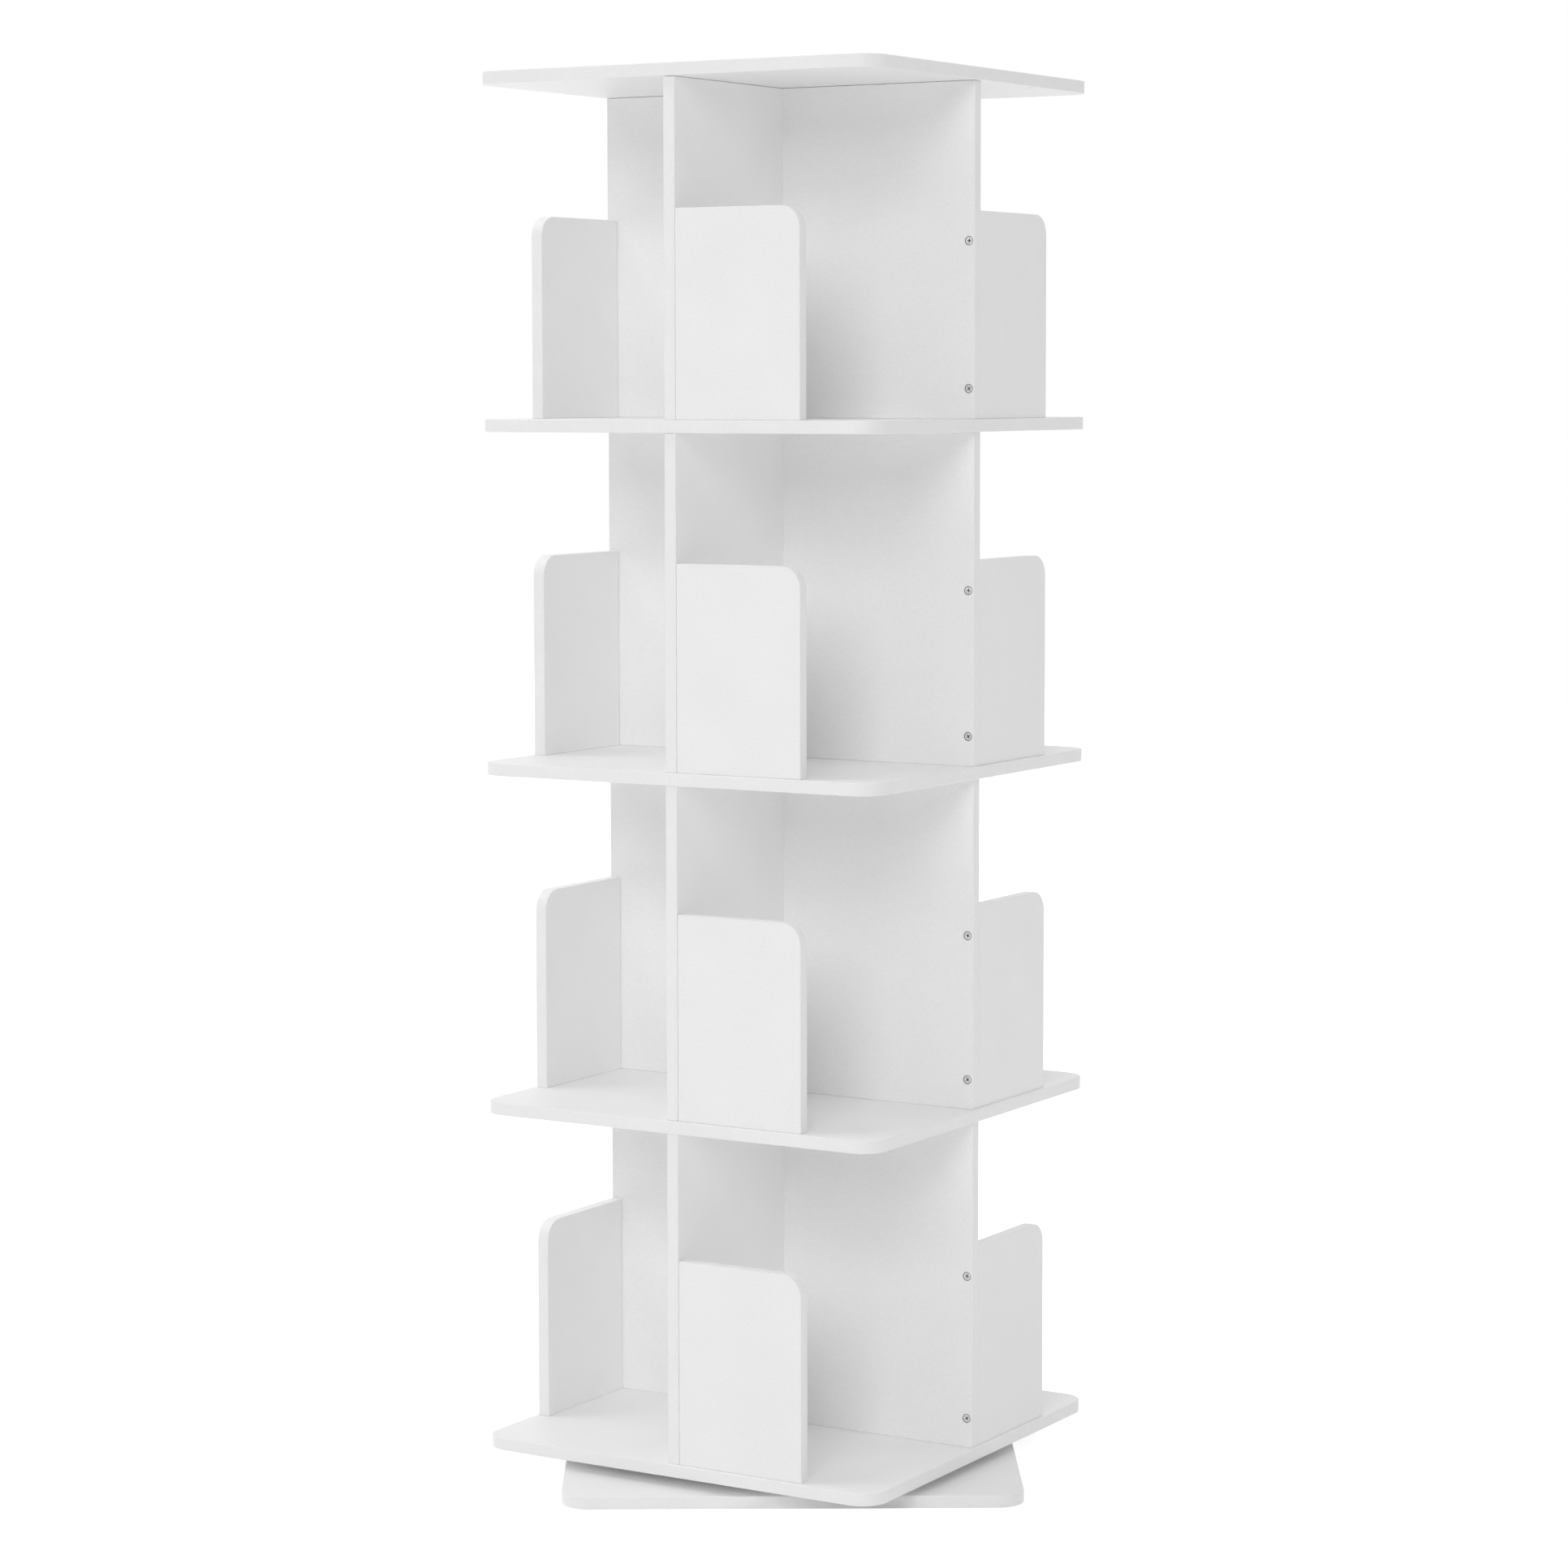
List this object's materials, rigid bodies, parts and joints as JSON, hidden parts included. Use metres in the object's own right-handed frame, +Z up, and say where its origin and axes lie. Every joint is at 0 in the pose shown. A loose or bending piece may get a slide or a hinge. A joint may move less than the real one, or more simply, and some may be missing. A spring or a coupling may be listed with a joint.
{
  "type": "revolving bookcase",
  "caption": "Tall square white bookcase of open tiers that turns on a ball-bearing base, with a spine, offset wings and low rounded book-ends on each shelf.",
  "frame": {"origin": "on the floor under the axis of rotation, at the middle of the base board's underside", "axes": "+Z up along the axis of rotation; -Y towards the face of the case with the front book-ends, +X towards the right wing; the base board is stored turned 31 degrees about +Z"},
  "size_m": [0.5726, 0.5726, 1.3255],
  "materials": {
    "white_laminate": "satin white melamine laminate on particle board",
    "zinc_steel": "bright zinc plate",
    "ball_steel": "polished bearing steel",
    "nylon": "matt black nylon",
    "beech": "bare beech"
  },
  "bodies": {
    "base": {"base_board": "white_laminate", "base_screws": "zinc_steel", "turntable_fixed_ring": "zinc_steel"},
    "case": {"turntable_turning_ring": "zinc_steel", "turntable_screws": "zinc_steel", "bottom_board": "white_laminate", "lower_shelf": "white_laminate", "middle_shelf": "white_laminate", "upper_shelf": "white_laminate", "top_board": "white_laminate", "tier1_spine": "white_laminate", "tier1_right_wing": "white_laminate", "tier1_left_wing": "white_laminate", "tier1_front_bookend": "white_laminate", "tier1_right_bookend": "white_laminate", "tier1_back_bookend": "white_laminate", "tier1_left_bookend": "white_laminate", "tier1_bookend_screws": "zinc_steel", "tier1_wing_screws": "zinc_steel", "tier1_shelf_screws": "zinc_steel", "tier1_dowels": "beech", "tier2_spine": "white_laminate", "tier2_right_wing": "white_laminate", "tier2_left_wing": "white_laminate", "tier2_front_bookend": "white_laminate", "tier2_right_bookend": "white_laminate", "tier2_back_bookend": "white_laminate", "tier2_left_bookend": "white_laminate", "tier2_bookend_screws": "zinc_steel", "tier2_wing_screws": "zinc_steel", "tier2_shelf_screws": "zinc_steel", "tier2_dowels": "beech", "tier3_spine": "white_laminate", "tier3_right_wing": "white_laminate", "tier3_left_wing": "white_laminate", "tier3_front_bookend": "white_laminate", "tier3_right_bookend": "white_laminate", "tier3_back_bookend": "white_laminate", "tier3_left_bookend": "white_laminate", "tier3_bookend_screws": "zinc_steel", "tier3_wing_screws": "zinc_steel", "tier3_shelf_screws": "zinc_steel", "tier3_dowels": "beech", "tier4_spine": "white_laminate", "tier4_right_wing": "white_laminate", "tier4_left_wing": "white_laminate", "tier4_front_bookend": "white_laminate", "tier4_right_bookend": "white_laminate", "tier4_back_bookend": "white_laminate", "tier4_left_bookend": "white_laminate", "tier4_bookend_screws": "zinc_steel", "tier4_wing_screws": "zinc_steel", "tier4_shelf_screws": "zinc_steel", "tier4_dowels": "beech"},
    "ball_ring": {"turntable_balls": "ball_steel", "turntable_cage": "nylon"}
  },
  "joints": [
    {"name": "case_spin", "type": "hinge", "parent": "base", "child": "case", "pos_m": [0, 0, 0.01675], "axis": [0, 0, 1], "continuous": true},
    {"name": "ball_ring_spin", "type": "hinge", "parent": "base", "child": "ball_ring", "pos_m": [0, 0, 0.01675], "axis": [0, 0, 1], "continuous": true}
  ],
  "couplings": [
    {"joint": "ball_ring_spin", "follows": "case_spin", "ratio": 0.4917}
  ]
}
